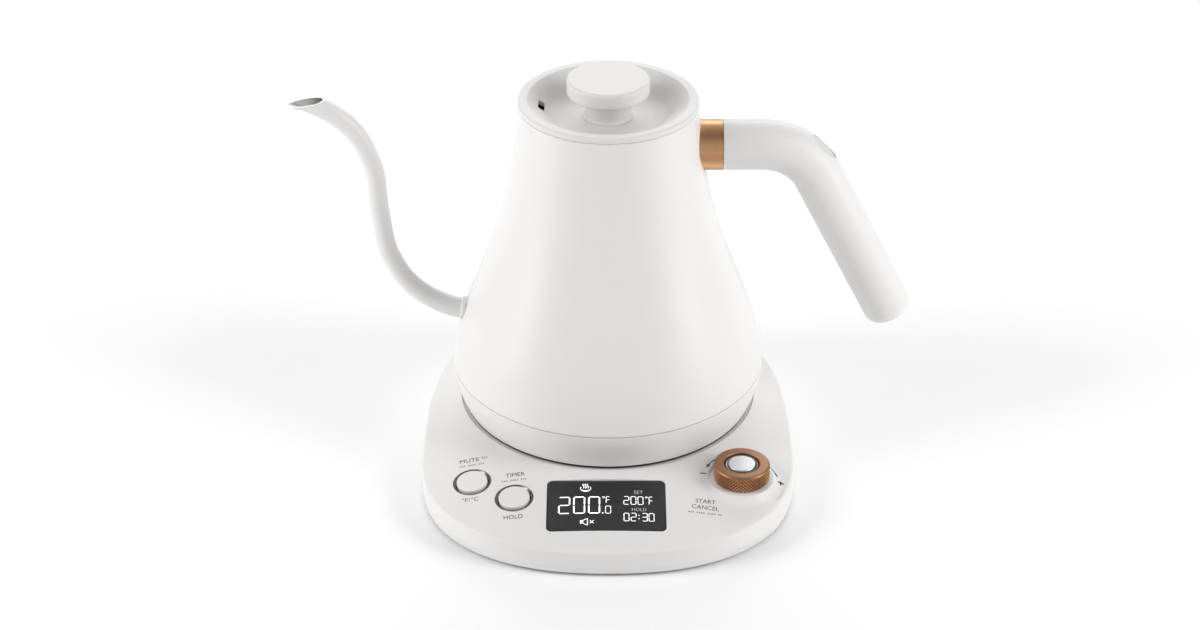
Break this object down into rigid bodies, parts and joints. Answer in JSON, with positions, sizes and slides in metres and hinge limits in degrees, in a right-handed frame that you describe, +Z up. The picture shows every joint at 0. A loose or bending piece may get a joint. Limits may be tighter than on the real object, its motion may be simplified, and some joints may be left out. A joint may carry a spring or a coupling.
{
  "type": "gooseneck kettle",
  "caption": "Cordless electric gooseneck kettle with lift-off lid and bent handle, standing on a heating base with display, dial and buttons.",
  "frame": {"origin": "on the surface the feet stand on, under the middle of the whole object's box", "axes": "+Z up; +X along the handle, with the spout pointing to -X; -Y is the side with the display, dial and buttons"},
  "size_m": [0.29, 0.211, 0.19],
  "materials": {
    "white_paint": "satin",
    "white_plastic": "satin",
    "grey_plastic": "matte",
    "dark_plastic": "matte",
    "display_gloss": "gloss",
    "copper": "brushed, copper coloured",
    "steel": "brushed",
    "aluminium": "brushed",
    "brass": "polished",
    "rubber": "matte",
    "silicone": "satin",
    "circuit_board": "satin",
    "component": "matte"
  },
  "bodies": {
    "base": {"base_housing": "white_plastic", "base_bottom_cover": "dark_plastic", "base_connector": "dark_plastic", "contact_pin": "brass", "contact_ring": "brass", "cord_gland": "dark_plastic", "foot_1": "rubber", "foot_2": "rubber", "foot_3": "rubber", "foot_4": "rubber", "housing_screw_1": "steel", "housing_screw_2": "steel", "housing_screw_3": "steel", "housing_screw_4": "steel", "display_lens": "display_gloss", "display_module": "component", "control_board": "circuit_board", "power_board": "circuit_board", "relay": "component", "transformer": "component", "buzzer": "component", "unit_switch": "component", "hold_switch": "component", "start_switch": "component", "rotary_encoder": "component", "unit_button_well": "dark_plastic", "hold_button_well": "dark_plastic"},
    "coupling": {"kettle_coupling": "dark_plastic"},
    "kettle": {"body_shell": "white_paint", "skirt_ring": "white_paint", "spout_tube": "white_paint", "kettle_bottom_cover": "dark_plastic", "cover_screw_1": "steel", "cover_screw_2": "steel", "cover_screw_3": "steel", "heater_plate": "steel", "heat_spreader": "aluminium", "heating_element": "steel", "temperature_probe": "steel", "thermal_cutout": "aluminium", "handle_collar": "copper", "handle_bracket": "steel", "handle_grip": "white_plastic", "thumb_rest": "grey_plastic", "handle_screw": "steel"},
    "lid": {"lid_cover": "white_plastic", "lid_inner_plate": "steel", "lid_seal": "silicone", "lid_knob_neck": "white_plastic", "lid_knob": "white_plastic", "lid_knob_screw": "steel"},
    "dial": {"dial_knob": "copper", "dial_sleeve": "dark_plastic"},
    "dial_button": {"dial_button": "aluminium"},
    "unit_button": {"unit_button": "white_plastic"},
    "hold_button": {"hold_button": "white_plastic"}
  },
  "joints": [
    {"name": "base_lift", "type": "slide", "parent": "base", "child": "coupling", "axis": [0, 0, 1], "range_m": [0, 0.15]},
    {"name": "kettle_swivel", "type": "hinge", "parent": "coupling", "child": "kettle", "pos_m": [0.001, 0.0185, 0.043], "axis": [0, 0, 1], "continuous": true},
    {"name": "lid_lift", "type": "slide", "parent": "kettle", "child": "lid", "axis": [0, 0, 1], "range_m": [0, 0.08]},
    {"name": "dial_turn", "type": "hinge", "parent": "base", "child": "dial", "pos_m": [0.063, -0.0552, 0.0245], "axis": [0, 0, 1], "continuous": true},
    {"name": "dial_press", "type": "slide", "parent": "base", "child": "dial_button", "axis": [0, 0, -1], "range_m": [0, 0.0008], "stiffness_N_per_m": 600, "springref_m": -0.0005},
    {"name": "unit_press", "type": "slide", "parent": "base", "child": "unit_button", "axis": [0.1004, 0.1194, -0.9877], "range_m": [0, 0.0009], "stiffness_N_per_m": 500, "springref_m": -0.0005},
    {"name": "hold_press", "type": "slide", "parent": "base", "child": "hold_button", "axis": [0.069, 0.14, -0.9877], "range_m": [0, 0.0009], "stiffness_N_per_m": 500, "springref_m": -0.0005}
  ]
}
